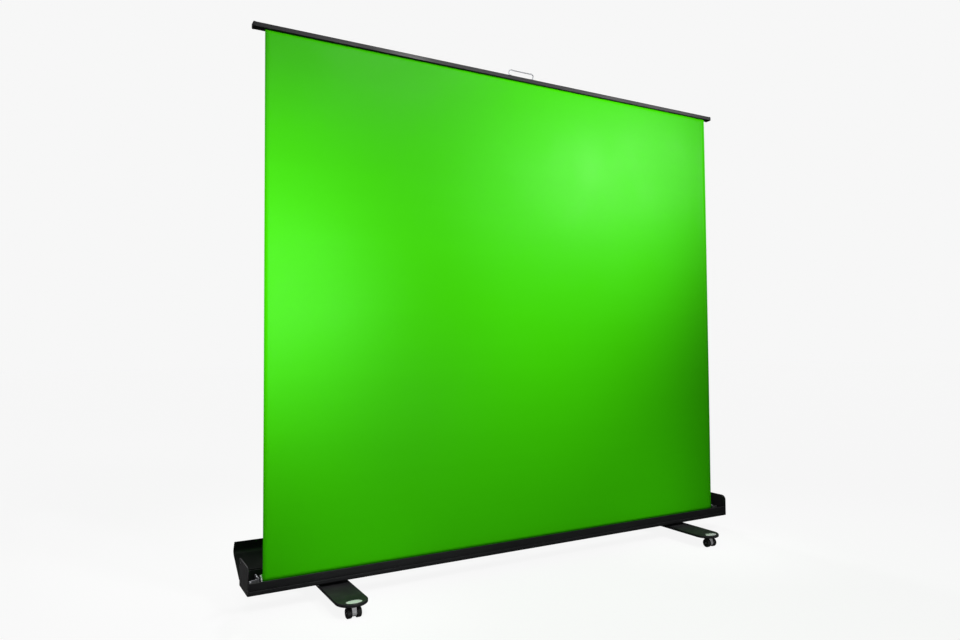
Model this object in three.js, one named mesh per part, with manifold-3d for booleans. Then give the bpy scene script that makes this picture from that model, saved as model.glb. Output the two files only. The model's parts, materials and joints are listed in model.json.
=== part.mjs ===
// A collapsible backdrop panel on castors: a green screen that pulls up out of a flat case and is held
// by two crossing pairs of folding arms. Millimetres; +X runs along the panel, the front faces -Y, +Z is
// up, and the origin is on the floor below the middle of the case. The screen is drawn pulled up, with
// the lid of the case open and both feet turned out.
import * as THREE from 'three';
import { mergeVertices } from 'three/addons/utils/BufferGeometryUtils.js';
import Module from 'manifold-3d';

const wasm = await Module();
wasm.setup();

const { degToRad } = THREE.MathUtils;

// Driving dimensions
const CASE = { half: 1050, front: -65, rear: 65, bottom: 61, lip: 101, rearTop: 104, top: 150, wall: 2.2 };
CASE.floor = CASE.bottom + 2.6;
const EDGE_RADIUS = 5;
const GROOVE = { z: 77, height: 4, depth: 1.5 };
const END_CAP = { thickness: 3.7, cornerRadius: 20, screws: [[-50, 75], [52, 75], [50, 138]] };
const COUNTERSINK = { radius: 4.2, depth: 1.4 };
const GAP = 0.3;
const TURNING_GAP = 0.4;

const HINGE = { y: 69.3, z: 104.5, radius: 4, bore: 2.1, rod: 1.8, knuckleHalf: 20, centres: [-900, 0, 900] };
const LID = { half: 1049, open: 150, wall: 2, frontRadius: 16, rearRadius: 6 };
const LATCH = { x: 350, halfWidth: 15.8, lug: 18, pivot: 1.4, drop: 7.5 };

const ROLLER = { y: -6, z: 86.6, half: 1004, radius: 18, wall: 1.6, cloth: 2 };
const AXLE = { radius: 5, outerEnd: 1038, spindleEnd: 770, idleEnd: 978 };
const SPRING = { radius: 10, wire: 1.4, turns: 8, start: -950, length: 150 };
const BRACKET_X = 1012;

const SCREEN = { half: 1000, thickness: 1 };
const BAR = {
  half: 1031, bottom: 1880.5, top: 1897.5, front: -34, rear: -6, wall: 1.6, corner: 3, capLength: 8,
};

const ARM = { pivotX: 650, pivotZ: 90, topPivotZ: 1852, rise: 46, halfHeight: 13, thickness: 6 };
ARM.length = (ARM.topPivotZ - ARM.pivotZ) / 2 / Math.sin(degToRad(ARM.rise));
// The arms pass each other in four layers; each is named by its front face.
const LAYER = { upperLeft: 24, lowerLeft: 33, lowerRight: 40, upperRight: 49 };
const PIN = { radius: 5, hole: 5.3, head: 8, headThickness: 2.2, openHole: 5.8 };
const BRACKET = { plate: 4, halfWidth: 30, floor: CASE.floor + GAP };

const FOOT = { x: 770, half: 263, width: 105, corner: 52, bottom: 40.5, top: 51 };
Object.assign(FOOT, { bossRadius: 32, boltRadius: 4 });
const BADGE = { radius: 26, squeeze: 0.58, reach: 239, depth: 1.8 };
const CASTOR = { reach: 220, trail: 12, wheelRadius: 17, treadWidth: 15.5, gap: 16, axleRadius: 3 };
CASTOR.stem = { radius: 4, height: 6 };

const PULL = { halfWidth: 56, height: 22, rod: 2.2, y: -20, z: 1901.1, lean: 5 };
// The grip hangs straight down from the open lid.
const GRIP = { halfWidth: 80, height: 34, rod: 3.6, y: -54, z: 52 };

// Materials
const finish = (color, roughness, metalness) => ({ color, roughness, metalness });
const BLACK_METAL = finish('#17181a', 0.42, 0.55);
const BLACK_PLASTIC = finish('#141416', 0.5, 0);
const STEEL = finish('#8d9094', 0.35, 0.9);
const GREY_METAL = finish('#a9acb0', 0.3, 0.85);
const RUBBER = finish('#101011', 0.75, 0);
const GREEN_CLOTH = finish('#3ccd05', 0.85, 0);

function named(name, geometry, look) {
  const mesh = new THREE.Mesh(geometry, new THREE.MeshStandardMaterial(look));
  mesh.name = name;
  return mesh;
}

function group(...children) {
  return new THREE.Group().add(...children);
}

// Outlines

function polygon(points) {
  return new THREE.Shape(points.map(([a, b]) => new THREE.Vector2(a, b)));
}

function rectangle(a0, b0, a1, b1) {
  return polygon([[a0, b0], [a1, b0], [a1, b1], [a0, b1]]);
}

function roundedRectangle(a0, b0, a1, b1, radius) {
  const [low, right, top, left] = Array.isArray(radius) ? radius : [radius, radius, radius, radius];
  const shape = new THREE.Shape();
  shape.moveTo(a0 + low, b0);
  shape.lineTo(a1 - right, b0);
  shape.absarc(a1 - right, b0 + right, right, -Math.PI / 2, 0, false);
  shape.lineTo(a1, b1 - top);
  shape.absarc(a1 - top, b1 - top, top, 0, Math.PI / 2, false);
  shape.lineTo(a0 + left, b1);
  shape.absarc(a0 + left, b1 - left, left, Math.PI / 2, Math.PI, false);
  shape.lineTo(a0, b0 + low);
  shape.absarc(a0 + low, b0 + low, low, Math.PI, 1.5 * Math.PI, false);
  return shape;
}

function circlePoints(radius, sides, a = 0, b = 0) {
  const points = [];
  for (let i = 0; i < sides; i += 1) {
    const turn = (i / sides) * 2 * Math.PI;
    points.push([a + radius * Math.cos(turn), b + radius * Math.sin(turn)]);
  }
  return points;
}

function disc(radius, sides, a = 0, b = 0) {
  return polygon(circlePoints(radius, sides, a, b));
}

function withHole(shape, radius, sides, a, b) {
  shape.holes.push(disc(radius, sides, a, b));
  return shape;
}

// Solids from outlines: alongX takes an outline in (Y, Z), alongY in (X, Z) and alongZ in (X, Y).

const ONTO_X = new THREE.Matrix4().makeBasis(
  new THREE.Vector3(0, 1, 0),
  new THREE.Vector3(0, 0, 1),
  new THREE.Vector3(1, 0, 0),
);

function extruded(shape, length, curveSegments) {
  return new THREE.ExtrudeGeometry(shape, { depth: length, bevelEnabled: false, curveSegments });
}

function alongX(shape, x0, x1, curveSegments = 6) {
  return extruded(shape, x1 - x0, curveSegments).applyMatrix4(ONTO_X).translate(x0, 0, 0);
}

function alongY(shape, y0, y1, curveSegments = 6) {
  return extruded(shape, y1 - y0, curveSegments).rotateX(Math.PI / 2).translate(0, y1, 0);
}

function alongZ(shape, z0, z1, curveSegments = 6) {
  return extruded(shape, z1 - z0, curveSegments).translate(0, 0, z0);
}

function box(x0, y0, z0, x1, y1, z1) {
  return alongZ(rectangle(x0, y0, x1, y1), z0, z1);
}

// A turned solid: the profile is [radius, distance along the axis], anticlockwise.
function turned(axis, profile, segments = 24) {
  const points = profile.map(([radius, along]) => new THREE.Vector2(radius, along));
  const closed = profile[0][0] > 0 ? [...points, points[0].clone()] : points;
  const geometry = new THREE.LatheGeometry(closed, segments);
  if (axis === 'x') return geometry.rotateZ(-Math.PI / 2);
  return axis === 'z' ? geometry.rotateX(Math.PI / 2) : geometry;
}

function ring(axis, inner, outer, from, to, segments = 24) {
  return turned(axis, [[outer, from], [outer, to], [inner, to], [inner, from]], segments);
}

function cylinder(axis, radius, from, to, segments = 20) {
  return turned(axis, [[0, from], [radius, from], [radius, to], [0, to]], segments);
}

// Joining and cutting

function toSolid(geometry) {
  const bare = geometry.clone();
  bare.deleteAttribute('normal');
  bare.deleteAttribute('uv');
  const merged = mergeVertices(bare, 1e-3);
  const vertProperties = Float32Array.from(merged.attributes.position.array);
  const triVerts = Uint32Array.from(merged.index.array);
  return new wasm.Manifold(new wasm.Mesh({ numProp: 3, vertProperties, triVerts }));
}

function toGeometry(solid) {
  const mesh = solid.getMesh();
  const geometry = new THREE.BufferGeometry();
  geometry.setAttribute('position', new THREE.BufferAttribute(mesh.vertProperties, mesh.numProp));
  geometry.setIndex(new THREE.BufferAttribute(mesh.triVerts, 1));
  geometry.computeVertexNormals();
  return geometry;
}

function made(pieces, cuts = []) {
  const whole = pieces.map(toSolid).reduce((sum, piece) => sum.add(piece));
  return toGeometry(cuts.map(toSolid).reduce((left, cut) => left.subtract(cut), whole));
}

// Case

function quarterArc(centreY, centreZ, radius, startDegrees, steps = 5) {
  return Array.from({ length: steps + 1 }, (_, i) => {
    const turn = degToRad(startDegrees + (i / steps) * 90);
    return [centreY + radius * Math.cos(turn), centreZ + radius * Math.sin(turn)];
  });
}

// The front wall ends in a lip that is folded inwards, and a groove for the latches runs along it.
function trayOutline() {
  const { front, rear, bottom, floor, lip, rearTop, wall } = CASE;
  const inFront = front + 3;
  const [grooveLow, grooveHigh] = [GROOVE.z - GROOVE.height / 2, GROOVE.z + GROOVE.height / 2];
  return polygon([
    ...quarterArc(rear - EDGE_RADIUS, bottom + EDGE_RADIUS, EDGE_RADIUS, -90),
    [rear, rearTop], [rear - wall, rearTop], [rear - wall, floor], [inFront, floor], [inFront, lip - 2],
    [front + 7, lip - 2], [front + 7, lip - 0.5], [front + 6, lip], [front + 0.8, lip], [front, lip - 0.8],
    [front, grooveHigh + 1], [front + GROOVE.depth, grooveHigh], [front + GROOVE.depth, grooveLow],
    [front, grooveLow - 1],
    ...quarterArc(front + EDGE_RADIUS, bottom + EDGE_RADIUS, EDGE_RADIUS, 180),
  ]);
}

function tray() {
  const pieces = [alongX(trayOutline(), -CASE.half, CASE.half)];
  const cuts = [];
  for (const x of HINGE.centres) {
    const [x0, x1] = [x - HINGE.knuckleHalf, x + HINGE.knuckleHalf];
    pieces.push(cylinder('x', HINGE.radius, x0, x1, 14).translate(0, HINGE.y, HINGE.z));
    pieces.push(box(x0, CASE.rear - 0.6, HINGE.z - 8, x1, HINGE.y, HINGE.z - 1));
    cuts.push(cylinder('x', HINGE.bore, x0 - 1, x1 + 1, 10).translate(0, HINGE.y, HINGE.z));
  }
  for (const side of [-1, 1]) {
    const hole = cylinder('z', FOOT.boltRadius + GAP, CASE.bottom - 1, CASE.floor + 1);
    cuts.push(hole.translate(side * FOOT.x, 0, 0));
  }
  return named('tray', made(pieces, cuts), BLACK_METAL);
}

// Drawn for the right-hand end, with three pockets in the outer face for countersunk screws
function endCap(side) {
  const corners = [EDGE_RADIUS, EDGE_RADIUS, 6, END_CAP.cornerRadius];
  const outline = roundedRectangle(CASE.front, CASE.bottom, CASE.rear + 2, CASE.top, corners);
  const [inner, outer] = [CASE.half + GAP, CASE.half + GAP + END_CAP.thickness];
  const pockets = END_CAP.screws.map(([y, z]) => {
    const pocket = cylinder('x', COUNTERSINK.radius, outer - COUNTERSINK.depth, outer + 1, 16);
    return pocket.translate(0, y, z);
  });
  return named(`end_cap_${side}`, made([alongX(outline, inner, outer, 10)], pockets), BLACK_PLASTIC);
}

// A plate across the case that carries the roller, with its foot and front flange turned outwards
function rollerBracket(side) {
  const { floor } = BRACKET;
  const sheet = 3;
  const [front, rear, flangeEnd] = [-30, 18, BRACKET_X + 24];
  const plate = alongX(rectangle(front, floor, rear, CASE.rearTop), BRACKET_X, BRACKET_X + sheet);
  const foot = box(BRACKET_X, front, floor, flangeEnd, rear, floor + sheet);
  const flange = box(BRACKET_X, front, floor, flangeEnd, front + sheet, CASE.lip - 1);
  const hole = cylinder('x', AXLE.radius + GAP, BRACKET_X - 1, BRACKET_X + sheet + 1);
  hole.translate(0, ROLLER.y, ROLLER.z);
  return named(`roller_bracket_${side}`, made([plate, foot, flange], [hole]), STEEL);
}

function mirroredInX(mesh) {
  mesh.geometry.scale(-1, 1, 1);
  const index = mesh.geometry.index.array;
  for (let i = 0; i < index.length; i += 3) [index[i], index[i + 1]] = [index[i + 1], index[i]];
  mesh.geometry.computeVertexNormals();
  return mesh;
}

// The roller's fixed axles: a long one at the left, inside the spring, and a short one at the right
function rollerAxle(name, x0, x1) {
  return named(name, cylinder('x', AXLE.radius, x0, x1).translate(0, ROLLER.y, ROLLER.z), STEEL);
}

class Helix extends THREE.Curve {
  constructor(radius, length, turns) {
    super();
    Object.assign(this, { radius, length, turns });
  }

  getPoint(t, target = new THREE.Vector3()) {
    const turn = t * this.turns * 2 * Math.PI;
    return target.set(t * this.length, this.radius * Math.cos(turn), this.radius * Math.sin(turn));
  }
}

function torsionSpring() {
  const { radius, wire, turns, start, length } = SPRING;
  const coil = new THREE.ExtrudeGeometry(disc(wire, 5), {
    steps: turns * 10,
    extrudePath: new Helix(radius, length, turns),
    bevelEnabled: false,
  });
  return named('torsion_spring', coil.translate(start, ROLLER.y, ROLLER.z), STEEL);
}

// The lid's hinge rod, and the bolts that the feet turn on

function hingeRod() {
  const rod = cylinder('x', HINGE.rod, -945, 945, 12);
  return named('hinge_rod', rod.translate(0, HINGE.y, HINGE.z), STEEL);
}

function footBolt(side, sign) {
  const [radius, headRadius, headHeight] = [FOOT.boltRadius, 9, 3.2];
  const low = FOOT.bottom - GAP;
  const top = CASE.floor - 0.2;
  const profile = [
    [0, low - headHeight], [headRadius - 2, low - headHeight], [headRadius, low - headHeight / 2],
    [headRadius, low], [radius, low], [radius, top], [0, top],
  ];
  return named(`foot_bolt_${side}`, turned('z', profile).translate(sign * FOOT.x, 0, 0), STEEL);
}

// Roller: everything here turns together

function rollerTube() {
  const tube = ring('x', ROLLER.radius - ROLLER.wall, ROLLER.radius, -ROLLER.half, ROLLER.half, 36);
  return named('roller_tube', tube, GREY_METAL);
}

function rollerPlug(side) {
  const bore = AXLE.radius + TURNING_GAP;
  const [fit, flange] = [ROLLER.radius - ROLLER.wall - GAP, ROLLER.radius - 0.1];
  const end = ROLLER.half + GAP;
  const [inside, outside] = [ROLLER.half - 29, end + 2.7];
  const profile = [
    [bore, inside], [fit, inside], [fit, end], [flange, end], [flange, outside], [bore, outside],
  ];
  return named(`roller_plug_${side}`, turned('x', profile), BLACK_PLASTIC);
}

function fabricRoll() {
  const inner = ROLLER.radius + GAP;
  const sleeve = ring('x', inner, inner + ROLLER.cloth, -SCREEN.half, SCREEN.half, 36);
  return named('fabric_roll', sleeve, GREEN_CLOTH);
}

function roller() {
  const left = rollerPlug('left');
  left.rotation.z = Math.PI;
  const whole = group(rollerTube(), fabricRoll(), left, rollerPlug('right'));
  whole.position.set(0, ROLLER.y, ROLLER.z);
  return whole;
}

// Folding frame

function armOutline(farHole) {
  const { length, halfHeight } = ARM;
  const shape = new THREE.Shape();
  shape.moveTo(0, -halfHeight);
  shape.lineTo(length, -halfHeight);
  shape.absarc(length, 0, halfHeight, -Math.PI / 2, Math.PI / 2, false);
  shape.lineTo(0, halfHeight);
  shape.absarc(0, 0, halfHeight, Math.PI / 2, 1.5 * Math.PI, false);
  withHole(shape, PIN.hole, 16, 0, 0);
  return withHole(shape, farHole, 16, length, 0);
}

function arm(name, front, start, heading, farHole = PIN.hole) {
  const mesh = named(name, alongY(armOutline(farHole), 0, ARM.thickness, 12), BLACK_METAL);
  mesh.position.set(start.x, front, start.z);
  mesh.rotation.y = -degToRad(heading);
  return mesh;
}

// A pin along Y, with its head in front of headSide or behind it and its shaft running on to the tip
function pin(name, place, headSide, tip) {
  const { radius, head, headThickness } = PIN;
  const profile = tip > headSide
    ? [
      [0, headSide - headThickness], [head, headSide - headThickness], [head, headSide],
      [radius, headSide], [radius, tip], [0, tip],
    ]
    : [
      [0, tip], [radius, tip], [radius, headSide], [head, headSide],
      [head, headSide + headThickness], [0, headSide + headThickness],
    ];
  return named(name, turned('y', profile, 20).translate(place.x, 0, place.z), STEEL);
}

function washer(name, place, front, rear) {
  const gasket = ring('y', PIN.hole, ARM.halfHeight + 1, front + GAP, rear - GAP);
  return named(name, gasket.translate(place.x, 0, place.z), BLACK_PLASTIC);
}

// An angle on the floor of the case: the arm turns on its upright, and its foot runs forwards or back.
function baseBracket(side, place, plateFront, footFront, footRear) {
  const { plate, halfWidth, floor } = BRACKET;
  const [x0, x1] = [place.x - halfWidth, place.x + halfWidth];
  const outline = roundedRectangle(x0, floor, x1, place.z + ARM.halfHeight + 1, [0.5, 0.5, 10, 10]);
  withHole(outline, PIN.hole, 16, place.x, place.z);
  const upright = alongY(outline, plateFront, plateFront + plate);
  const foot = box(x0, footFront, floor, x1, footRear, floor + plate - 0.5);
  return named(`base_bracket_${side}`, made([upright, foot]), STEEL);
}

// A hanging plate with an upper block that joins it to the rear of the top bar
function topBracket(side, place, plateFront) {
  const plateRear = plateFront + BRACKET.plate;
  const outline = roundedRectangle(place.x - 16, place.z - 14, place.x + 16, BAR.top - 1, [8, 8, 1, 1]);
  const upright = alongY(withHole(outline, PIN.hole, 16, place.x, place.z), plateFront, plateRear);
  const block = box(
    place.x - 28, BAR.rear + GAP, BAR.bottom + 1,
    place.x + 28, plateRear - 0.5, BAR.top - 1,
  );
  return named(`top_bracket_${side}`, made([upright, block]), BLACK_METAL);
}

function foldingFrame() {
  const { pivotX, pivotZ, topPivotZ, thickness, rise } = ARM;
  const play = TURNING_GAP;
  const { upperLeft, lowerLeft, lowerRight, upperRight } = LAYER;
  const elbowX = ARM.length * Math.cos(degToRad(rise)) - pivotX;
  const at = (x, z) => ({ x, z });
  const [baseLeft, baseRight] = [at(-pivotX, pivotZ), at(pivotX, pivotZ)];
  const [topLeft, topRight] = [at(-pivotX, topPivotZ), at(pivotX, topPivotZ)];
  const [elbowLeft, elbowRight] = [elbowX, -elbowX].map((x) => at(x, (pivotZ + topPivotZ) / 2));
  const behindLeft = lowerLeft + thickness + play;
  const beforeRight = lowerRight - play - BRACKET.plate;
  const beforeUpper = upperLeft - play - BRACKET.plate;
  const behindUpper = upperRight + thickness + play;
  return group(
    baseBracket('left', baseLeft, behindLeft, behindLeft, CASE.rear - 5),
    baseBracket('right', baseRight, beforeRight, 22, beforeRight + BRACKET.plate),
    pin('base_pin_left', baseLeft, lowerLeft - play, behindLeft + BRACKET.plate + 2),
    pin('base_pin_right', baseRight, lowerRight + thickness + play, beforeRight - 2),
    arm('lower_arm_left', lowerLeft, baseLeft, rise),
    arm('upper_arm_left', upperLeft, elbowLeft, 180 - rise),
    arm('lower_arm_right', lowerRight, baseRight, 180 - rise),
    arm('upper_arm_right', upperRight, elbowRight, rise, PIN.openHole),
    pin('elbow_pin_left', elbowLeft, upperLeft - play, lowerLeft + thickness),
    pin('elbow_pin_right', elbowRight, upperRight + thickness + play, lowerRight),
    washer('elbow_washer_left', elbowLeft, upperLeft + thickness, lowerLeft),
    washer('elbow_washer_right', elbowRight, lowerRight + thickness, upperRight),
    topBracket('left', topLeft, beforeUpper),
    topBracket('right', topRight, behindUpper),
    pin('top_pin_left', topLeft, beforeUpper - GAP, upperLeft + thickness),
    pin('top_pin_right', topRight, behindUpper + BRACKET.plate + GAP, upperRight),
  );
}

// Top bar, with the slot that the screen's edge is held in

function topBar() {
  const { half, bottom, top, front, rear, wall, corner } = BAR;
  const outer = alongX(roundedRectangle(front, bottom, rear, top, corner), -half, half);
  const inner = rectangle(front + wall, bottom + wall, rear - wall, top - wall);
  const [slotFront, slotRear] = [screenFront() - 1, screenFront() + SCREEN.thickness + 1];
  const slot = rectangle(slotFront, bottom - 1, slotRear, bottom + wall + 1);
  const cuts = [alongX(inner, -half - 1, half + 1), alongX(slot, -half - 1, half + 1)];
  return named('top_bar', made([outer], cuts), BLACK_METAL);
}

// Drawn for the right-hand end: a plate with a rounded outer edge, and a spigot that fills the bar
function barCap(side) {
  const { half, bottom, top, front, rear, wall, capLength } = BAR;
  const round = 3;
  const start = half + GAP;
  const face = roundedRectangle(front - 1, bottom - 1, rear + 1, top + 1, 5);
  const plate = new THREE.ExtrudeGeometry(face, {
    depth: capLength - GAP - round,
    bevelThickness: round,
    bevelSize: round,
    bevelOffset: -round,
    bevelSegments: 2,
    curveSegments: 3,
  });
  plate.applyMatrix4(ONTO_X).translate(start, 0, 0);
  const flatBack = box(start - 20, front - 5, bottom - 5, start, rear + 5, top + 5);
  const inset = wall + GAP;
  const spigot = rectangle(front + inset, bottom + inset, rear - inset, top - inset);
  const rounded = toSolid(plate).subtract(toSolid(flatBack));
  const whole = rounded.add(toSolid(alongX(spigot, start - 20, start + 1)));
  return named(`bar_cap_${side}`, toGeometry(whole), BLACK_PLASTIC);
}

function screenFront() {
  return ROLLER.y - ROLLER.radius - GAP - ROLLER.cloth - GAP - SCREEN.thickness;
}

function screenFabric() {
  const y = screenFront();
  const sheet = box(-SCREEN.half, y, ROLLER.z, SCREEN.half, y + SCREEN.thickness, BAR.bottom - GAP);
  return named('screen_fabric', sheet, GREEN_CLOTH);
}

// Handles: a rod bent to a U, with its two ends turned inwards on the pivot line

function roundedPath(points, radii) {
  const path = new THREE.CurvePath();
  let from = points[0];
  for (let i = 1; i < points.length - 1; i += 1) {
    const towards = points[i].clone().sub(points[i - 1]).setLength(radii[i - 1]);
    const onwards = points[i + 1].clone().sub(points[i]).setLength(radii[i - 1]);
    const [enter, leave] = [points[i].clone().sub(towards), points[i].clone().add(onwards)];
    path.add(new THREE.LineCurve3(from, enter));
    path.add(new THREE.QuadraticBezierCurve3(enter, points[i], leave));
    from = leave;
  }
  path.add(new THREE.LineCurve3(from, points[points.length - 1]));
  return path;
}

function bail(name, { halfWidth, height, rod }, legEnd, corner, look) {
  const at = (x, z) => new THREE.Vector3(x, 0, z);
  const points = [
    at(-legEnd, 0), at(-halfWidth, 0), at(-halfWidth, height),
    at(halfWidth, height), at(halfWidth, 0), at(legEnd, 0),
  ];
  const bend = 1.6 * rod;
  const path = roundedPath(points, [bend, corner, corner, bend]);
  const section = disc(rod, 8);
  const tube = new THREE.ExtrudeGeometry(section, { steps: 34, extrudePath: path, bevelEnabled: false });
  return named(name, tube, look);
}

// A flat plate on top of the bar with two eyes, which the handle's turned-in ends pivot in
function handlePlate() {
  const base = BAR.top + GAP;
  const eye = { x: 49.5, radius: 3.4, halfLength: 2.5 };
  const pieces = [box(-58, PULL.y - 7, base, 58, PULL.y + 7, base + 0.9)];
  const cuts = [];
  for (const x of [-eye.x, eye.x]) {
    const [x0, x1] = [x - eye.halfLength, x + eye.halfLength];
    pieces.push(box(x0, PULL.y - eye.radius, base, x1, PULL.y + eye.radius, PULL.z));
    pieces.push(cylinder('x', eye.radius, x0, x1, 16).translate(0, PULL.y, PULL.z));
    cuts.push(cylinder('x', PULL.rod + GAP, x0 - 1, x1 + 1, 16).translate(0, PULL.y, PULL.z));
  }
  return named('handle_plate', made(pieces, cuts), STEEL);
}

function pullHandle() {
  const handle = bail('pull_handle', PULL, 44, 9, STEEL);
  handle.position.set(0, PULL.y, PULL.z);
  handle.rotation.x = degToRad(PULL.lean);
  return handle;
}

// Lid: drawn closed, about the hinge rod, and then turned open

const LID_TOP = CASE.top - HINGE.z;
const LID_FRONT = CASE.front - HINGE.y;
const LID_REAR = CASE.rear - HINGE.y;
const LATCH_AXIS = { y: LID_FRONT - 2.5, z: LATCH.drop };

function lidOutline() {
  const { wall, frontRadius, rearRadius } = LID;
  const frontCentre = [LID_FRONT + frontRadius, LID_TOP - frontRadius];
  const rearCentre = [LID_REAR - rearRadius, LID_TOP - rearRadius];
  const shape = new THREE.Shape();
  shape.moveTo(LID_REAR, 1);
  shape.lineTo(LID_REAR, rearCentre[1]);
  shape.absarc(rearCentre[0], rearCentre[1], rearRadius, 0, Math.PI / 2, false);
  shape.lineTo(frontCentre[0], LID_TOP);
  shape.absarc(frontCentre[0], frontCentre[1], frontRadius, Math.PI / 2, Math.PI, false);
  shape.lineTo(LID_FRONT, -2);
  shape.lineTo(LID_FRONT + wall, -2);
  shape.lineTo(LID_FRONT + wall, frontCentre[1]);
  shape.absarc(frontCentre[0], frontCentre[1], frontRadius - wall, Math.PI, Math.PI / 2, true);
  shape.lineTo(rearCentre[0], LID_TOP - wall);
  shape.absarc(rearCentre[0], rearCentre[1], rearRadius - wall, Math.PI / 2, 0, true);
  shape.lineTo(LID_REAR - wall, 1);
  return shape;
}

function lidCover() {
  const pieces = [alongX(lidOutline(), -LID.half, LID.half, 6)];
  const cuts = [];
  const { knuckleHalf } = HINGE;
  for (const x of HINGE.centres) {
    for (const start of [x - 2 * knuckleHalf - 0.5, x + knuckleHalf + 0.5]) {
      const end = start + knuckleHalf;
      pieces.push(cylinder('x', HINGE.radius, start, end, 14));
      pieces.push(box(start, LID_REAR - 0.6, 1, end, 0, 7));
      cuts.push(cylinder('x', HINGE.bore, start - 1, end + 1, 10));
    }
  }
  for (const centre of [-LATCH.x, LATCH.x]) {
    for (const x of [centre - LATCH.lug, centre + LATCH.lug]) {
      const [y, z] = [LATCH_AXIS.y, LATCH_AXIS.z];
      pieces.push(box(x - 1.5, y - 2.6, z - 3.5, x + 1.5, LID_FRONT + 0.6, z + 3.5));
      cuts.push(cylinder('x', LATCH.pivot + TURNING_GAP, x - 2, x + 2, 10).translate(0, y, z));
    }
  }
  return named('lid_cover', made(pieces, cuts), BLACK_METAL);
}

function latch(side, sign) {
  const { halfWidth } = LATCH;
  const outer = LATCH_AXIS.y - 1.5;
  const tip = GROOVE.z - HINGE.z;
  const outline = polygon([
    [outer, tip - 1.2], [LID_FRONT + 0.9, tip - 1.2], [LID_FRONT + 0.9, tip + 1], [outer + 3, tip + 2.6],
    [outer + 3, LATCH_AXIS.z + 1.4], [outer + 2, LATCH_AXIS.z + 2], [outer, LATCH_AXIS.z + 1.2],
  ]);
  const plate = alongX(outline, -halfWidth, halfWidth);
  const pivotHalf = LATCH.lug + 1.2;
  const trunnion = cylinder('x', LATCH.pivot, -pivotHalf, pivotHalf, 10);
  trunnion.translate(0, LATCH_AXIS.y, LATCH_AXIS.z);
  return named(`latch_${side}`, made([plate, trunnion]).translate(sign * LATCH.x, 0, 0), STEEL);
}

function gripBracket(side, sign) {
  const x = sign * 70;
  const [low, high] = [LID_TOP + GAP, GRIP.z + 6];
  const outline = roundedRectangle(GRIP.y - 11, low, GRIP.y + 9, high, [0.5, 0.5, 5, 5]);
  const block = alongX(withHole(outline, GRIP.rod + GAP, 16, GRIP.y, GRIP.z), x - 4, x + 4);
  return named(`carry_bracket_${side}`, block, BLACK_PLASTIC);
}

function carryHandle() {
  const handle = bail('carry_handle', GRIP, 62, 16, BLACK_PLASTIC);
  handle.position.set(0, GRIP.y, GRIP.z);
  handle.rotation.x = degToRad(LID.open - 180);
  return handle;
}

function lid() {
  const parts = [lidCover(), carryHandle()];
  for (const [side, sign] of [['left', -1], ['right', 1]]) {
    parts.push(latch(side, sign), gripBracket(side, sign));
  }
  const whole = group(...parts);
  whole.position.set(0, HINGE.y, HINGE.z);
  whole.rotation.x = -degToRad(LID.open);
  return whole;
}

// Feet and castors

// A flat plate with rounded ends and a boss in the middle, which turns under the floor of the case
function foot(name) {
  const { half, width, bottom, top, corner, bossRadius, boltRadius } = FOOT;
  const edge = 2;
  const plate = new THREE.ExtrudeGeometry(roundedRectangle(-width / 2, -half, width / 2, half, corner), {
    depth: top - bottom - 2 * edge,
    bevelThickness: edge,
    bevelSize: edge,
    bevelOffset: -edge,
    bevelSegments: 1,
    curveSegments: 9,
  });
  plate.translate(0, 0, bottom + edge);
  const boss = cylinder('z', bossRadius, top - 1, CASE.bottom - GAP, 32);
  const cuts = [cylinder('z', boltRadius + GAP, bottom - 1, CASE.bottom + 1)];
  for (const along of [-1, 1]) {
    const { radius, height } = CASTOR.stem;
    const stemHole = cylinder('z', radius + TURNING_GAP, bottom - 1, bottom + height + 1);
    const badgePocket = cylinder('z', BADGE.radius + TURNING_GAP, top - BADGE.depth, top + 1, 28);
    cuts.push(stemHole.translate(0, along * CASTOR.reach, 0));
    cuts.push(badgePocket.scale(1, BADGE.squeeze, 1).translate(0, along * BADGE.reach, 0));
  }
  return named(name, made([plate, boss], cuts), BLACK_PLASTIC);
}

// The bright oval badge let into the top of the foot at each end
function footBadge(name, along) {
  const { radius, squeeze, reach, depth } = BADGE;
  const low = FOOT.top - depth + GAP;
  const profile = [[0, low], [radius, low], [radius, low + 1.1], [radius - 4, low + 1.6], [0, low + 1.8]];
  const badge = turned('z', profile, 28).scale(1, squeeze, 1);
  return named(name, badge.translate(0, along * reach, 0), GREY_METAL);
}

// The body between the two wheels, with its round top plate and the stem that it swivels on
function castorFork(name) {
  const { trail, wheelRadius, axleRadius, gap, stem } = CASTOR;
  const half = gap / 2 - 0.5;
  const hubRadius = wheelRadius - 4.5;
  const top = FOOT.bottom - GAP;
  const shape = new THREE.Shape();
  shape.moveTo(-14, top - 2);
  shape.lineTo(-14, top - 7);
  shape.absarc(trail, wheelRadius, hubRadius, degToRad(195), degToRad(385), false);
  shape.lineTo(18, top - 2);
  const body = alongX(shape, -half, half, 12);
  const plate = cylinder('z', 19, top - 3.5, top, 24);
  const pivot = cylinder('z', stem.radius, top - 1, FOOT.bottom + stem.height);
  const bore = cylinder('x', axleRadius + TURNING_GAP, -half - 1, half + 1);
  bore.translate(0, trail, wheelRadius);
  return named(name, made([body, plate, pivot], [bore]), GREY_METAL);
}

// Two wheels on one axle, turned as one piece about X
function wheelset(name) {
  const { wheelRadius: r, treadWidth, gap, axleRadius } = CASTOR;
  const [inner, outer] = [gap / 2, gap / 2 + treadWidth];
  const side = [
    [axleRadius, inner], [r - 2, inner], [r, inner + 2], [r, outer - 4], [r - 1, outer - 1.2],
    [r - 3, outer], [r - 6, outer], [r - 7, outer - 0.8], [0, outer - 0.8],
  ];
  const mirrored = side.map(([radius, x]) => [radius, -x]).reverse();
  return named(name, turned('x', [...mirrored, ...side], 24), RUBBER);
}

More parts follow.
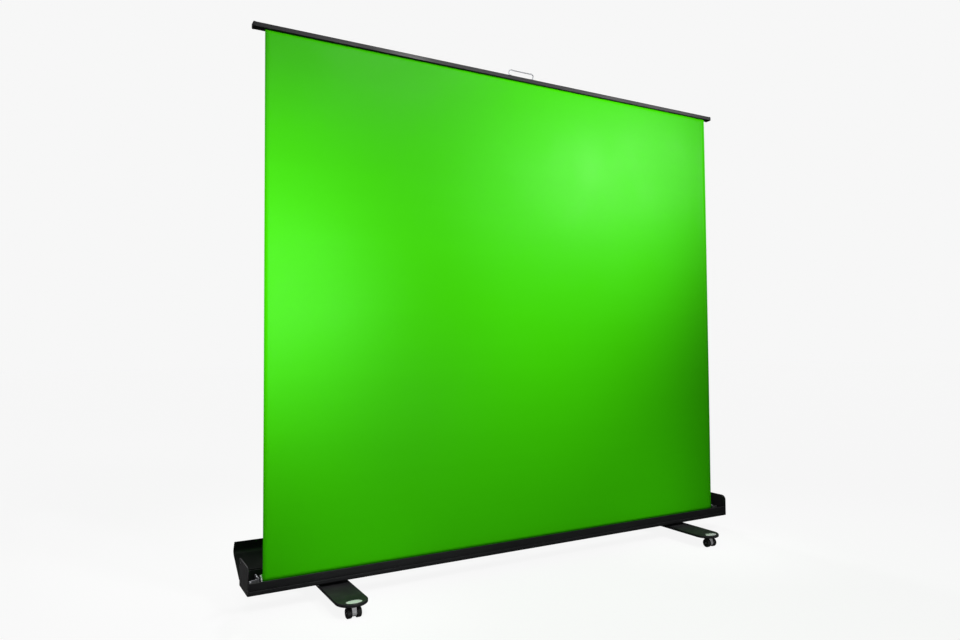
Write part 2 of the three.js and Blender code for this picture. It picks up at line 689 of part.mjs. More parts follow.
// The castors trail towards the front, as they do after the panel has been pushed back.
function castor(name, y) {
  const wheels = wheelset(`wheels_${name}`);
  wheels.position.set(0, CASTOR.trail, CASTOR.wheelRadius);
  const whole = group(castorFork(`castor_fork_${name}`), wheels);
  whole.position.y = y;
  whole.rotation.z = Math.PI;
  return whole;
}

function footAssembly(side, sign) {
  const parts = [foot(`foot_${side}`)];
  for (const [end, along] of [['front', -1], ['rear', 1]]) {
    parts.push(footBadge(`foot_badge_${side}_${end}`, along));
    parts.push(castor(`${side}_${end}`, along * CASTOR.reach));
  }
  const whole = group(...parts);
  whole.position.x = sign * FOOT.x;
  return whole;
}

// The whole backdrop panel

const panel = group(
  tray(), mirroredInX(endCap('left')), endCap('right'), mirroredInX(rollerBracket('left')),
  rollerBracket('right'), rollerAxle('roller_spindle', -AXLE.outerEnd, -AXLE.spindleEnd),
  rollerAxle('idle_pin', AXLE.idleEnd, AXLE.outerEnd), torsionSpring(), hingeRod(), roller(),
  foldingFrame(), topBar(), mirroredInX(barCap('left')), barCap('right'), screenFabric(),
  handlePlate(), pullHandle(), lid(),
);
for (const [side, sign] of [['left', -1], ['right', 1]]) {
  panel.add(footBolt(side, sign), footAssembly(side, sign));
}

export default panel;
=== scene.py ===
"""The looks of a collapsible backdrop panel: its cloth, small fittings, materials, lights and camera.

Everything is in metres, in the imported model's frame: +X runs along the panel, the green front faces -Y
and +Z is up.
"""
import json
import math

import bpy
from mathutils import Matrix, Vector


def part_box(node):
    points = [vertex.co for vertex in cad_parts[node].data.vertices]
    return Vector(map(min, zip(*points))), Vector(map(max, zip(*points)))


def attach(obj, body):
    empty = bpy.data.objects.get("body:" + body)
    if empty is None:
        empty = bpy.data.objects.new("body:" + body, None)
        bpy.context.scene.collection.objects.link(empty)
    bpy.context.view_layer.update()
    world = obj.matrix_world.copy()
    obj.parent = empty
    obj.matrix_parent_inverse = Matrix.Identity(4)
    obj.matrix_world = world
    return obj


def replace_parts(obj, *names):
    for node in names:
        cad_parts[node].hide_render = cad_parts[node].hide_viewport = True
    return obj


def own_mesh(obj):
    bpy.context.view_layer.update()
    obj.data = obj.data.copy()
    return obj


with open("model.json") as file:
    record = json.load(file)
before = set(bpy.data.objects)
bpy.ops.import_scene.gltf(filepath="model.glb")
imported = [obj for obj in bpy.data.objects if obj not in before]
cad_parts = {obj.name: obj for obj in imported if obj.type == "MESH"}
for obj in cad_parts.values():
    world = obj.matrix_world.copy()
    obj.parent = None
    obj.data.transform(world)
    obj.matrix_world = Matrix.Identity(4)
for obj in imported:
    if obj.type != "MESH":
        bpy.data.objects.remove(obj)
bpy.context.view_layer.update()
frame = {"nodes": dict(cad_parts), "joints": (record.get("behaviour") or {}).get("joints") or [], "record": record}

SIDES = {"left": -1, "right": 1}
ENDS = ("front", "rear")
X, Z = Vector((1, 0, 0)), Vector((0, 0, 1))

CLOTH_THICKNESS = 0.00045
THREAD_PITCH = 0.0006
SLOT_DEPTH = 0.004  # how far the screen goes up into the bar

WHITE = (1, 1, 1, 1)
DUST = (0.35, 0.34, 0.32, 1)
WORN_COAT = (0.09, 0.09, 0.094, 1)
WORN_PLASTIC = (0.06, 0.06, 0.063, 1)
SCUFFED_RUBBER = (0.07, 0.068, 0.064, 1)

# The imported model's edges are rounded above one angle, and every piece is smooth below another
EDGE = {"merge": 0.00001, "width": 0.00035, "segments": 2, "sharper_than": 50, "smoother_than": 35}

# The screen: its mesh, how far it stands in front of flat, and its ripple in radians per metre
SCREEN = {"rows": 110, "columns": 120, "billow": 0.0012, "curl": 0.0022, "curl_width": 0.06}
RIPPLE = {"depth": 0.0005, "across": 7.3, "lean": 2.1, "up": 3.1}

# The turns that stay on the roller. The gap to the screen is in thicknesses of cloth
ROLL = {"turns": 3, "steps": 48, "columns": 2, "gap": 1.2}

# The two bent-rod handles: the rod's radius, its turned-in ends and the bends at its grip
PULL_HANDLE = {"rod": 0.0022, "turned_in": 0.012, "bend": 0.009}
CARRY_HANDLE = {"rod": 0.0036, "turned_in": 0.018, "bend": 0.016}
SMALL_BEND = 1.6  # in rod radii
SLEEVE = {"half": 0.052, "ribs": 13, "clearance": 0.0002, "valley": 0.0048, "crest": 0.0054}
SLEEVE_RIB = (("valley", 0.1), ("crest", 0.3), ("crest", 0.7), ("valley", 0.9))

# The castor wheels. Outline points are pairs: (in from the radius, in from a face) for the tyre, and
# (along, in from the radius) for its grooves
WHEEL_SIDES = {"tyre": 64, "hub": 48, "axle": 24}
TYRE = {"width": 0.0155, "depth": 0.006, "lip": 0.0005, "grooves": (0.35, 0.62)}
TREAD_INNER = ((0.0015, 0), (0.0004, 0.0008), (0, 0.002))
TREAD_OUTER = ((0, 0.004), (0.0008, 0.0016), (0.0025, 0.0003), (0.004, 0))
GROOVE = ((-0.0007, 0), (-0.0004, 0.0007), (0.0004, 0.0007), (0.0007, 0))

# The hub: (in from the tyre, in from the outer face) at its rim, (radius, in from that face) at its dish
HUB = {"bore": 0.003, "set_in": 0.001}
HUB_RIM = ((0.0002, 0.0008), (0.0015, 0.0006), (0.0025, 0.0028))
HUB_DISH = ((0.0052, 0.0036), (0.0048, 0.0016), (0.0042, 0.0010), (HUB["bore"], 0.0010))

# The axle, whose ends close at its tip, and (radius, in from the wheel's outer face) for its cap
AXLE = {"radius": 0.0028, "tip": 0.0001}
AXLE_CAP = (
    (AXLE["tip"], 0.004), (AXLE["radius"], 0.004), (AXLE["radius"], 0.0014),
    (0.0024, 0.0009), (0.0014, 0.0005), (AXLE["tip"], 0.0004),
)

# A screw's head: its rings in shares of its radius and height, and its socket in shares of the same,
# with the rim in shares of the socket's radius
HEAD_RINGS = ((1, 0), (1, 0.35), (0.9, 0.75), (0.7, 0.97))
SOCKET = {"radius": 0.45, "rim": 1.15, "top": 0.96, "bottom": 0.3}

# The screws. An end cap's three are at these (y, z) places, sunk a little below its face. A base
# screw's y is in from the left bracket's rear edge or the right one's front edge
CAP_SCREW = {"radius": 0.0039, "height": 0.0013, "sunk": 0.0014}
CAP_SCREW_PLACES = ((-0.050, 0.075), (0.052, 0.075), (0.050, 0.138))
BASE_SCREW = {"radius": 0.0042, "height": 0.0022, "seat": 0.0035, "from_pivot": 0.02}
BASE_SCREW_IN = {"left": -0.007, "right": 0.006}
PLATE_SCREW = {"radius": 0.0036, "height": 0.0018, "seat": 0.0009, "from_middle": 0.03}

# The floor and the room: how bright the camera sees them, and how bright the room is as a light
FLOOR_HALF = 30
FLOOR_GLOW = 0.89
ROOM = {"light": 0.25, "seen": 0.93}


def centre(node):
    low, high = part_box(node)
    return (low + high) / 2


# Camera: the place, heading (from +Y towards +X), rise and roll that give the usual three-quarter view
CAMERA = {
    "place": (-1.518, -2.379, 0.835),
    "heading": 29.28,
    "rise": 2.12,
    "roll": -0.39,
    "lens": 26.77,
}


def add_camera():
    camera = bpy.data.objects.new("camera", bpy.data.cameras.new("camera"))
    bpy.context.scene.collection.objects.link(camera)
    camera.data.lens = CAMERA["lens"]
    camera.data.sensor_width = 36
    camera.data.clip_end = 100
    turn = Matrix.Rotation(-math.radians(CAMERA["heading"]), 4, "Z")
    tilt = Matrix.Rotation(math.radians(90 + CAMERA["rise"]), 4, "X")
    roll = Matrix.Rotation(math.radians(CAMERA["roll"]), 4, "Z")
    camera.matrix_world = Matrix.Translation(CAMERA["place"]) @ turn @ tilt @ roll
    bpy.context.scene.camera = camera


# Materials

class Look:
    """A material's node tree, with short ways to add the nodes that the finishes share."""

    def __init__(self, name, color, roughness, metallic=0.0, specular=0.5):
        self.material = bpy.data.materials.new(name)
        self.material.use_nodes = True
        self.nodes = self.material.node_tree.nodes
        self.links = self.material.node_tree.links
        self.shader = self.nodes["Principled BSDF"]
        self.color = color
        self.set("Base Color", (*color, 1))
        self.set("Roughness", roughness)
        self.set("Metallic", metallic)
        self.set("Specular IOR Level", specular)
        self.place = self.add("TexCoord").outputs["Object"]

    def set(self, socket, value):
        self.feed(self.shader.inputs[socket], value)

    def feed(self, socket, value):
        if isinstance(value, bpy.types.NodeSocket):
            self.links.new(value, socket)
        else:
            socket.default_value = value

    def add(self, kind, inputs=None, **properties):
        node = self.nodes.new("ShaderNode" + kind)
        for name, value in properties.items():
            setattr(node, name, value)
        for name, value in (inputs or {}).items():
            self.feed(node.inputs[name], value)
        return node

    def math(self, operation, a, b=0.0):
        return self.add("Math", {0: a, 1: b}, operation=operation).outputs[0]

    def noise(self, scale, detail=2.0, stretch=(1, 1, 1), at=None):
        stretched = self.add("VectorMath", {0: at or self.place, 1: stretch}, operation="MULTIPLY")
        inputs = {"Vector": stretched.outputs[0], "Scale": scale, "Detail": detail}
        return self.add("TexNoise", inputs).outputs["Fac"]

    def between(self, value, low, high, start=0.3, end=0.7):
        """The value, which runs from start to end, spread from low to high."""
        inputs = {"Value": value, "From Min": start, "From Max": end, "To Min": low, "To Max": high}
        return self.add("MapRange", inputs).outputs["Result"]

    def tint(self, factor, color_a, color_b):
        node = self.add("Mix", data_type="RGBA")
        self.feed(node.inputs[0], factor)
        self.feed(node.inputs[6], color_a)
        self.feed(node.inputs[7], color_b)
        return node.outputs[2]

    def shade(self, level):
        """The base colour, made lighter or darker by level."""
        return (*[channel * level for channel in self.color], 1)

    def bump(self, height, distance, strength=1.0):
        inputs = {"Height": height, "Distance": distance, "Strength": strength}
        self.set("Normal", self.add("Bump", inputs).outputs["Normal"])

    def worn_edges(self, radius, amount):
        """Up to the amount on edges that are rubbed, in patches, and 0 elsewhere."""
        rounded = self.add("Bevel", {"Radius": radius}, samples=4).outputs["Normal"]
        flat = self.add("NewGeometry").outputs["Normal"]
        same = self.add("VectorMath", {0: rounded, 1: flat}, operation="DOT_PRODUCT").outputs["Value"]
        edge = self.between(same, 1.0, 0.0, 0.8, 0.99)
        rubbed = self.between(self.noise(60, 6), 0.0, amount, 0.45, 0.6)
        return self.math("MULTIPLY", edge, rubbed)

    def dusty(self, color, amount):
        """The colour with a little dust on the faces that look up."""
        facing = self.add("SeparateXYZ", {"Vector": self.add("NewGeometry").outputs["Normal"]})
        up = self.between(facing.outputs["Z"], 0.0, 1.0, 0.6, 1.0)
        patchy = self.between(self.noise(25, 8), 0.0, amount)
        return self.tint(self.math("MULTIPLY", up, patchy), color, DUST)


def powder_coat():
    look = Look("black_aluminium", (0.013, 0.0135, 0.0145), 0.42, specular=0.2)
    worn = look.worn_edges(0.0009, 0.7)
    mottled = look.tint(look.between(look.noise(7, 4), 0, 1), look.shade(0.85), look.shade(1.2))
    look.set("Base Color", look.dusty(look.tint(worn, mottled, WORN_COAT), 0.03))
    smudges = look.between(look.noise(11, 5, (0.4, 1, 1)), 0.32, 0.50)
    look.set("Roughness", look.math("SUBTRACT", smudges, look.math("MULTIPLY", worn, 0.1)))
    look.bump(look.noise(1900, 2), 0.00006, 0.5)
    return look.material


def moulded_plastic():
    look = Look("black_plastic", (0.016, 0.016, 0.0175), 0.55, specular=0.22)
    worn = look.worn_edges(0.0008, 0.5)
    mottled = look.tint(look.between(look.noise(12, 4), 0, 1), look.shade(0.85), look.shade(1.25))
    look.set("Base Color", look.dusty(look.tint(worn, mottled, WORN_PLASTIC), 0.04))
    look.set("Roughness", look.between(look.noise(16, 6), 0.48, 0.64))
    grain = look.add("TexVoronoi", {"Vector": look.place, "Scale": 1500}).outputs["Distance"]
    look.bump(grain, 0.00005, 0.5)
    return look.material


def zinc_plate():
    look = Look("steel", (0.42, 0.43, 0.45), 0.4, 1.0)
    grains = look.add("TexVoronoi", {"Vector": look.place, "Scale": 900}).outputs["Color"]
    level = look.add("SeparateColor", {"Color": grains}).outputs[0]
    look.set("Base Color", look.tint(level, look.shade(0.94), look.shade(1.05)))
    clouded = look.between(look.noise(40, 5), 0.0, 0.12)
    look.set("Roughness", look.math("ADD", look.between(level, 0.38, 0.43, 0.0, 1.0), clouded))
    look.bump(look.noise(900, 3), 0.00003, 0.4)
    return look.material


def satin_metal():
    look = Look("grey_metal", (0.82, 0.82, 0.84), 0.4, 0.2)
    streaks = look.noise(60, 6, (1, 12, 12))
    look.set("Base Color", look.tint(look.between(streaks, 0, 1), look.shade(0.88), look.shade(1.1)))
    worn = look.worn_edges(0.0006, 0.8)
    brushed = look.between(streaks, 0.32, 0.48)
    look.set("Roughness", look.math("SUBTRACT", brushed, look.math("MULTIPLY", worn, 0.08)))
    look.bump(streaks, 0.00003, 0.4)
    return look.material


def wheel_rubber():
    look = Look("rubber", (0.014, 0.014, 0.015), 0.62, specular=0.4)
    scuffed = look.between(look.noise(140, 8), 0.0, 0.25, 0.48, 0.7)
    look.set("Base Color", look.tint(scuffed, look.shade(1.0), SCUFFED_RUBBER))
    look.set("Roughness", look.between(look.noise(90, 5), 0.5, 0.75))
    look.bump(look.noise(1200, 4), 0.00006, 0.6)
    return look.material


def woven_cloth():
    """A plain weave on the cloth's own flat coordinates, with faint bands across from being rolled."""
    look = Look("green_cloth", (0.050, 0.63, 0.0005), 0.33, specular=0.055)
    flat = look.add("UVMap", uv_map="cloth").outputs["UV"]
    threads = look.add("VectorMath", {0: flat, "Scale": 1 / THREAD_PITCH}, operation="SCALE").outputs[0]
    across = look.add("SeparateXYZ", {"Vector": threads})
    warp, weft = [
        look.math("ABSOLUTE", look.math("SINE", look.math("MULTIPLY", across.outputs[axis], math.pi)))
        for axis in ("X", "Y")
    ]
    over = look.add("TexChecker", {"Vector": threads, "Scale": 1.0}).outputs["Fac"]
    weave = look.add("Mix", data_type="FLOAT")
    for socket, value in ((0, over), (2, warp), (3, weft)):
        look.feed(weave.inputs[socket], value)
    bands = look.between(look.noise(1.0, 3, (0.5, 14, 1), flat), -0.015, 0.015)
    clouds = look.between(look.noise(2.2, 3, at=flat), -0.02, 0.02)
    threaded = look.between(weave.outputs[0], 0.42, 0.54, 0, 1)
    light = look.math("ADD", threaded, look.math("ADD", bands, clouds))
    look.set("Base Color", look.tint(light, look.shade(0.75), look.shade(1.25)))
    look.set("Roughness", look.between(look.noise(5, 4, at=flat), 0.29, 0.37))
    look.bump(weave.outputs[0], 0.00012, 0.35)
    return look.material


MATERIALS = {
    "black_aluminium": powder_coat(),
    "black_plastic": moulded_plastic(),
    "steel": zinc_plate(),
    "grey_metal": satin_metal(),
    "rubber": wheel_rubber(),
    "green_cloth": woven_cloth(),
}


# Making pieces

def smooth(mesh):
    mesh.shade_smooth()
    mesh.set_sharp_from_angle(angle=math.radians(EDGE["smoother_than"]))


def piece(name, vertices, faces, slot, body):
    mesh = bpy.data.meshes.new(name)
    mesh.from_pydata([tuple(v) for v in vertices], [], faces)
    mesh.validate()
    mesh.materials.append(MATERIALS[slot])
    smooth(mesh)
    made = bpy.data.objects.new(name, mesh)
    bpy.context.scene.collection.objects.link(made)
    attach(made, body)
    return made


def rings_to_faces(count, sides, closed_up=False):
    """Quads between rings of vertices, and a flat face on each end unless the rings close up."""
    faces = []
    for i in range(count if closed_up else count - 1):
        first, second = i * sides, ((i + 1) % count) * sides
        for j in range(sides):
            k = (j + 1) % sides
            faces.append((first + j, first + k, second + k, second + j))
    if not closed_up:
        faces.append(tuple(reversed(range(sides))))
        faces.append(tuple(range((count - 1) * sides, count * sides)))
    return faces


def square_to(axis):
    side = axis.orthogonal().normalized()
    return side, axis.cross(side)


def circle(middle, axis, radius, sides):
    side, other = square_to(axis)
    turns = [2 * math.pi * i / sides for i in range(sides)]
    return [middle + radius * (math.cos(t) * side + math.sin(t) * other) for t in turns]


def turned(place, axis, profile, sides=40, closed_up=False):
    """The vertices and faces of a solid turned about axis from (radius, distance along) pairs."""
    rings = [circle(place + axis * along, axis, radius, sides) for radius, along in profile]
    return [v for ring in rings for v in ring], rings_to_faces(len(profile), sides, closed_up)


def joined(solids):
    vertices, faces = [], []
    for more_vertices, more_faces in solids:
        start = len(vertices)
        vertices += more_vertices
        faces += [tuple(start + i for i in face) for face in more_faces]
    return vertices, faces


def bent_path(corners, radius, steps=10):
    """Right-angled corners joined by straight runs, with a round bend of this radius at each."""
    path = [corners[0]]
    for before, corner, after in zip(corners, corners[1:], corners[2:]):
        enter = corner + (before - corner).normalized() * radius
        leave = corner + (after - corner).normalized() * radius
        middle = enter + leave - corner
        for i in range(steps + 1):
            turn = 0.5 * math.pi * i / steps
            path.append(middle + (corner - leave) * math.cos(turn) + (corner - enter) * math.sin(turn))
    path.append(corners[-1])
    return path


def tube(path, radius, plane_normal, sides=20):
    """A round rod along a path that lies in one plane."""
    vertices = []
    for i, point in enumerate(path):
        ahead = (path[min(i + 1, len(path) - 1)] - path[max(i - 1, 0)]).normalized()
        side = plane_normal.cross(ahead)
        for j in range(sides):
            turn = 2 * math.pi * j / sides
            vertices.append(point + radius * (math.cos(turn) * side + math.sin(turn) * plane_normal))
    return vertices, rings_to_faces(len(path), sides)


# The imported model's own pieces: finer edges and the finishes

def finish_nodes():
    slots = {part["node"]: part["material_slot"] for part in frame["record"]["subparts"]}
    for name, node in frame["nodes"].items():
        node.data.materials.clear()
        node.data.materials.append(MATERIALS[slots[name]])
        smooth(node.data)
        weld = node.modifiers.new("weld", "WELD")
        weld.merge_threshold = EDGE["merge"]
        soften = node.modifiers.new("soften", "BEVEL")
        soften.width = EDGE["width"]
        soften.segments = EDGE["segments"]
        soften.limit_method = "ANGLE"
        soften.angle_limit = math.radians(EDGE["sharper_than"])
        level = node.modifiers.new("level", "WEIGHTED_NORMAL")
        level.keep_sharp = True


# The cloth

def add_uv(mesh, flat_points):
    """Lays the cloth's flat coordinates, in metres, on its mesh."""
    layer = mesh.uv_layers.new(name="cloth")
    for loop in mesh.loops:
        layer.data[loop.index].uv = flat_points[loop.vertex_index]


def cloth(name, rows, half_width, body, columns):
    """A sheet with real thickness. A row is a distance along the cloth and a function from x to a point."""
    vertices, flat_points = [], []
    for along, row in rows:
        for i in range(columns + 1):
            x = half_width * (2 * i / columns - 1)
            vertices.append(row(x))
            flat_points.append((x, along))
    faces = []
    for j in range(len(rows) - 1):
        for i in range(columns):
            a = j * (columns + 1) + i
            faces.append((a, a + 1, a + columns + 2, a + columns + 1))
    sheet = piece(name, vertices, faces, "green_cloth", body)
    add_uv(sheet.data, flat_points)
    thickness = sheet.modifiers.new("thickness", "SOLIDIFY")
    thickness.thickness = CLOTH_THICKNESS
    thickness.offset = 0
    return sheet


def fold_range(name):
    """How far a joint turns from rest, in radians."""
    joint = next(joint for joint in frame["joints"] if joint["name"] == name)
    return math.radians(max(joint["range_deg"]))


def arm_length():
    """The distance between a lower arm's two pins, seen from the front."""
    apart = centre("elbow_pin_left") - centre("base_pin_left")
    return math.hypot(apart.x, apart.z)


def pulled_up_screen():
    """The screen between the roller and the bar: flat at both ends and a little loose between them."""
    low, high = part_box("screen_fabric")
    middle, half_width = (low.y + high.y) / 2, (high.x - low.x) / 2
    top = high.z + SLOT_DEPTH
    rows = []
    for j in range(SCREEN["rows"] + 1):
        z = low.z + (top - low.z) * j / SCREEN["rows"]
        loose = math.sin(math.pi * j / SCREEN["rows"]) ** 0.5

        def row(x, z=z, loose=loose):
            billow = SCREEN["billow"] * math.cos(0.5 * math.pi * x / half_width)
            edge = 1 - min(1, (half_width - abs(x)) / SCREEN["curl_width"])
            curl = SCREEN["curl"] * edge * edge
            wave = math.sin(RIPPLE["across"] * x + RIPPLE["lean"] * z) * math.sin(RIPPLE["up"] * z)
            return (x, middle - loose * (billow + RIPPLE["depth"] * wave + curl), z)

        rows.append((z - low.z, row))
    screen = cloth("screen", rows, half_width, "top_bar", SCREEN["columns"])
    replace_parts(screen, "screen_fabric")
    drop = 2 * arm_length() * math.sin(fold_range("frame_fold"))
    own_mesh(screen)
    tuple(Z)


def cloth_on_roller():
    """The turns that stay on the roller: a spiral inwards from where the screen leaves it."""
    axle = centre("roller_tube")
    screen_low, screen_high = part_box("screen_fabric")
    tube_low, tube_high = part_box("roller_tube")
    outer = axle.y - (screen_low.y + screen_high.y) / 2 - ROLL["gap"] * CLOTH_THICKNESS
    inner = (tube_high.z - tube_low.z) / 2 + CLOTH_THICKNESS
    half_width = (screen_high.x - screen_low.x) / 2
    steps = ROLL["steps"]
    last = ROLL["turns"] * steps
    rows, along = [], 0.0
    for i in range(last + 1):
        turn = 2 * math.pi * i / steps
        radius = outer + (inner - outer) * i / last
        y, z = axle.y - radius * math.cos(turn), axle.z - radius * math.sin(turn)
        rows.append((along, lambda x, y=y, z=z: (x, y, z)))
        along += radius * 2 * math.pi / steps
    roll = cloth("cloth_on_roller", rows, half_width, "roller", ROLL["columns"])
    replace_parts(roll, "fabric_roll")


# Handles

def bail_points(node, rod):
    """The lowest and highest corners of the box that holds a bent rod's centre line."""
    low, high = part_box(node)
    return low + Vector((rod, rod, rod)), high - Vector((rod, rod, rod))


def bail_corners(left, right, turned_in, pivot, grip):
    """A U between left and right. The pivot and the grip are (y, z), and its ends turn in at the pivot."""
    runs = [(left + turned_in, pivot), (left, pivot), (left, grip)]
    runs += [(right, grip), (right, pivot), (right - turned_in, pivot)]
    return [Vector((x, *run)) for x, run in runs]


def pull_handle():
    rod = PULL_HANDLE["rod"]
    low, high = bail_points("pull_handle", rod)
    corners = bail_corners(low.x, high.x, PULL_HANDLE["turned_in"], (high.y, low.z), (low.y, high.z))
    wire(corners, rod, PULL_HANDLE["bend"], "steel", "pull_handle")


def carry_handle():
    rod, half, ribs = CARRY_HANDLE["rod"], SLEEVE["half"], SLEEVE["ribs"]
    low, high = bail_points("carry_handle", rod)
    y = (low.y + high.y) / 2
    corners = bail_corners(low.x, high.x, CARRY_HANDLE["turned_in"], (y, high.z), (y, low.z))
    wire(corners, rod, CARRY_HANDLE["bend"], "black_plastic", "carry_handle")
    bore, width = rod + SLEEVE["clearance"], 2 * half / ribs
    profile = [(bore, -half)]
    for i in range(ribs):
        start = -half + 2 * half * i / ribs
        for radius, share in SLEEVE_RIB:
            profile.append((SLEEVE[radius], start + share * width))
    profile.append((bore, half))
    sleeve = turned(Vector((0, y, low.z)), X, profile)
    piece("carry_handle_sleeve", *sleeve, "rubber", "carry_handle")


def wire(corners, rod, bend, slot, node):
    """A U of round rod in a node's place: small bends at the two turned-in ends, wide ones at the grip."""
    normal = (corners[3] - corners[2]).cross(corners[2] - corners[1]).normalized()
    small = SMALL_BEND * rod
    path = bent_path(corners[:3], small)[:-1]
    path += bent_path(corners[1:5], bend)[1:-1]
    path += bent_path(corners[3:], small)[1:]
    made = piece(f"{node}_wire", *tube(path, rod, normal), slot, node)
    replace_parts(made, node)


# Castor wheels: two tyres with grooved treads, two dished hubs, and an axle with a cap at each end

def tread_outline(radius, inner, half):
    """The tyre's closed outline, from its inner face to its outer one."""
    rim = radius - TYRE["depth"]
    outline = [(rim, inner)] + [(radius - down, inner + along) for down, along in TREAD_INNER]
    for share in TYRE["grooves"]:
        at = inner + share * (half - inner)
        outline += [(radius - down, at + along) for along, down in GROOVE]
    outline += [(radius - down, half - along) for down, along in TREAD_OUTER]
    return [*outline, (rim, half - TYRE["lip"])]


def hub_outline(radius, inner, half):
    """The hub's closed outline: just inside the tyre, with a dished outer face."""
    rim, back = radius - TYRE["depth"], inner + HUB["set_in"]
    outline = [(HUB["bore"], back), (rim - HUB_RIM[0][0], back)]
    outline += [(rim - down, half - along) for down, along in HUB_RIM]
    return outline + [(out, half - along) for out, along in HUB_DISH]


def wheel_pair(side, end):
    node = f"wheels_{side}_{end}"
    low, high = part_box(node)
    middle = (low + high) / 2
    radius, half = (high.z - low.z) / 2, (high.x - low.x) / 2
    inner = half - TYRE["width"]
    tread, hub = tread_outline(radius, inner, half), hub_outline(radius, inner, half)
    cap = [(out, half - along) for out, along in AXLE_CAP]
    shaft, tip, sides = AXLE["radius"], AXLE["tip"], WHEEL_SIDES
    axle = [(tip, -inner), (shaft, -inner), (shaft, inner), (tip, inner)]
    tyres = joined([turned(middle, X * sign, tread, sides["tyre"], True) for sign in (-1, 1)])
    hubs = joined([turned(middle, X * sign, hub, sides["hub"], True) for sign in (-1, 1)])
    caps = [turned(middle, X * sign, cap, sides["axle"]) for sign in (-1, 1)]
    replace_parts(piece(f"tyres_{side}_{end}", *tyres, "rubber", node), node)
    piece(f"hubs_{side}_{end}", *hubs, "black_plastic", node)
    piece(f"axle_{side}_{end}", *joined([*caps, turned(middle, X, axle, sides["axle"])]), "steel", node)


# Screws

def screw_head(place, axis, size):
    """A low domed head with a six-sided socket. The place is where the head meets its seat."""
    radius, height, sides = size["radius"], size["height"], 24
    socket = SOCKET["radius"] * radius
    rings = [(share * radius, rise * height) for share, rise in HEAD_RINGS]
    rings.append((SOCKET["rim"] * socket, height))
    vertices = [v for r, along in rings for v in circle(place + axis * along, axis, r, sides)]
    side, other = square_to(axis)
    sixth = math.pi / 3
    for along in (SOCKET["top"] * height, SOCKET["bottom"] * height):
        for j in range(sides):
            turn = 2 * math.pi * j / sides
            flat = math.cos(sixth / 2) / math.cos(turn % sixth - sixth / 2)
            spoke = math.cos(turn) * side + math.sin(turn) * other
            vertices.append(place + axis * along + spoke * socket * flat)
    return vertices, rings_to_faces(len(rings) + 2, sides)


def add_screws():
    for side, sign in SIDES.items():
        low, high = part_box(f"end_cap_{side}")
        x = (low.x if sign < 0 else high.x) - sign * CAP_SCREW["sunk"]
        heads = [screw_head(Vector((x, y, z)), X * sign, CAP_SCREW) for y, z in CAP_SCREW_PLACES]
        piece(f"cap_screws_{side}", *joined(heads), "steel", "case")

        low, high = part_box(f"base_bracket_{side}")
        pivot = centre(f"base_pin_{side}")
        y = (high.y if sign < 0 else low.y) + BASE_SCREW_IN[side]
        z, apart = low.z + BASE_SCREW["seat"], BASE_SCREW["from_pivot"]
        heads = [screw_head(Vector((pivot.x + dx, y, z)), Z, BASE_SCREW) for dx in (-apart, apart)]
        piece(f"base_screws_{side}", *joined(heads), "steel", "case")

    low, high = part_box("handle_plate")
    y, z, apart = (low.y + high.y) / 2, low.z + PLATE_SCREW["seat"], PLATE_SCREW["from_middle"]
    heads = [screw_head(Vector((x, y, z)), Z, PLATE_SCREW) for x in (-apart, apart)]
    piece("handle_screws", *joined(heads), "steel", "top_bar")


# The floor and the light

def add_floor():
    """A pale floor that glows only where the camera sees it, so that it meets the room without a line."""
    half = FLOOR_HALF
    corners = [(-half, -half, 0), (half, -half, 0), (half, half, 0), (-half, half, 0)]
    mesh = bpy.data.meshes.new("floor")
    mesh.from_pydata(corners, [], [(0, 1, 2, 3)])
    floor = bpy.data.objects.new("floor", mesh)
    look = Look("pale_floor", (0.12, 0.12, 0.12), 0.9, specular=0.05)
    level = look.between(look.noise(0.8, 4), 0, 1)
    look.set("Base Color", look.tint(level, look.shade(0.98), look.shade(1.02)))
    seen = look.add("LightPath").outputs["Is Camera Ray"]
    look.set("Emission Color", WHITE)
    look.set("Emission Strength", look.math("MULTIPLY", seen, FLOOR_GLOW))
    mesh.materials.append(look.material)
    bpy.context.scene.collection.objects.link(floor)


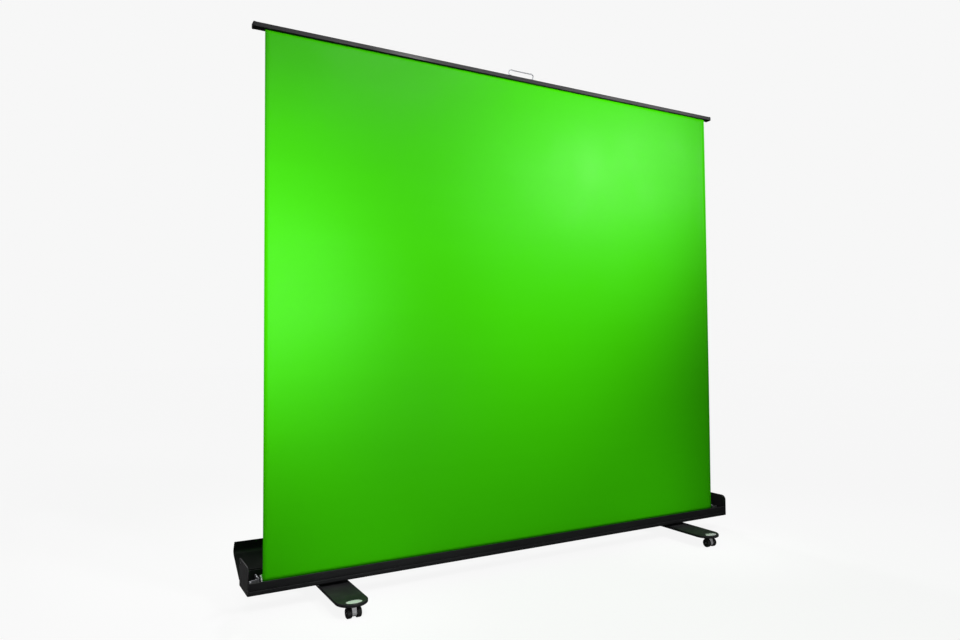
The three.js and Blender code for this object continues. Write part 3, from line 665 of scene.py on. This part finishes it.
def add_world():
    """A pale room that is bright where it is seen and dim as a light."""
    world = bpy.data.worlds.new("studio")
    bpy.context.scene.world = world
    world.use_nodes = True
    nodes, links = world.node_tree.nodes, world.node_tree.links
    seen = nodes.new("ShaderNodeLightPath").outputs["Is Camera Ray"]
    strength = nodes.new("ShaderNodeMapRange")
    strength.inputs["To Min"].default_value = ROOM["light"]
    strength.inputs["To Max"].default_value = ROOM["seen"]
    links.new(seen, strength.inputs["Value"])
    links.new(strength.outputs["Result"], nodes["Background"].inputs["Strength"])
    nodes["Background"].inputs["Color"].default_value = WHITE


# Spotlights: the spread is the cone's whole angle in radians, and the power is in watts
SPOT_RADIUS = 0.3
SPOTS = {
    "right_glow": {"place": (2.3, -2.4, 2.3), "target": (0.5, 0, 1.6), "spread": 0.6, "power": 310},
    "left_glow": {"place": (-0.4, -2.4, 1.2), "target": (-1.2, 0, 1.0), "spread": 0.6, "power": 190},
    "top_left": {"place": (-2, -2.6, 3.2), "target": (-0.8, 0, 1.1), "spread": 0.5, "power": 230},
    "top_middle": {"place": (-0.6, -2.6, 3.2), "target": (0.3, 0, 1.1), "spread": 0.5, "power": 140},
    "top_right": {"place": (0.6, -2.6, 3.2), "target": (-0.3, 0, 1.5), "spread": 1.1, "power": 220},
    "low_fill": {"place": (0.2, -3, 0.6), "target": (0, 0, 0.2), "spread": 0.8, "power": 55},
    "left_rim": {"place": (-1.9, 2.6, 0.35), "target": (-1.2, 0, 0.1), "spread": 0.12, "power": 400},
    "left_foot": {"place": (-0.85, -1.3, 1.9), "target": (-0.77, -0.24, 0), "spread": 0.3, "power": 130},
    "right_foot": {"place": (0.9, -1.3, 1.9), "target": (0.77, -0.24, 0), "spread": 0.3, "power": 130},
    "back": {"place": (0.8, 3.4, 2.8), "target": (0, 0, 0.9), "spread": 1.2, "power": 260},
}


def add_lights():
    for name, spot in SPOTS.items():
        data = bpy.data.lights.new(name, "SPOT")
        data.energy = spot["power"]
        data.spot_size = spot["spread"]
        data.spot_blend = 1
        data.shadow_soft_size = SPOT_RADIUS
        light = bpy.data.objects.new(name, data)
        light.location = spot["place"]
        aim = Vector(spot["target"]) - light.location
        light.rotation_euler = aim.to_track_quat("-Z", "Y").to_euler()
        bpy.context.scene.collection.objects.link(light)


add_camera()
finish_nodes()
cloth_on_roller()
pulled_up_screen()
pull_handle()
carry_handle()
for side in SIDES:
    for end in ENDS:
        wheel_pair(side, end)
add_screws()
add_floor()
add_world()
add_lights()
bpy.context.scene.view_settings.view_transform = "Standard"
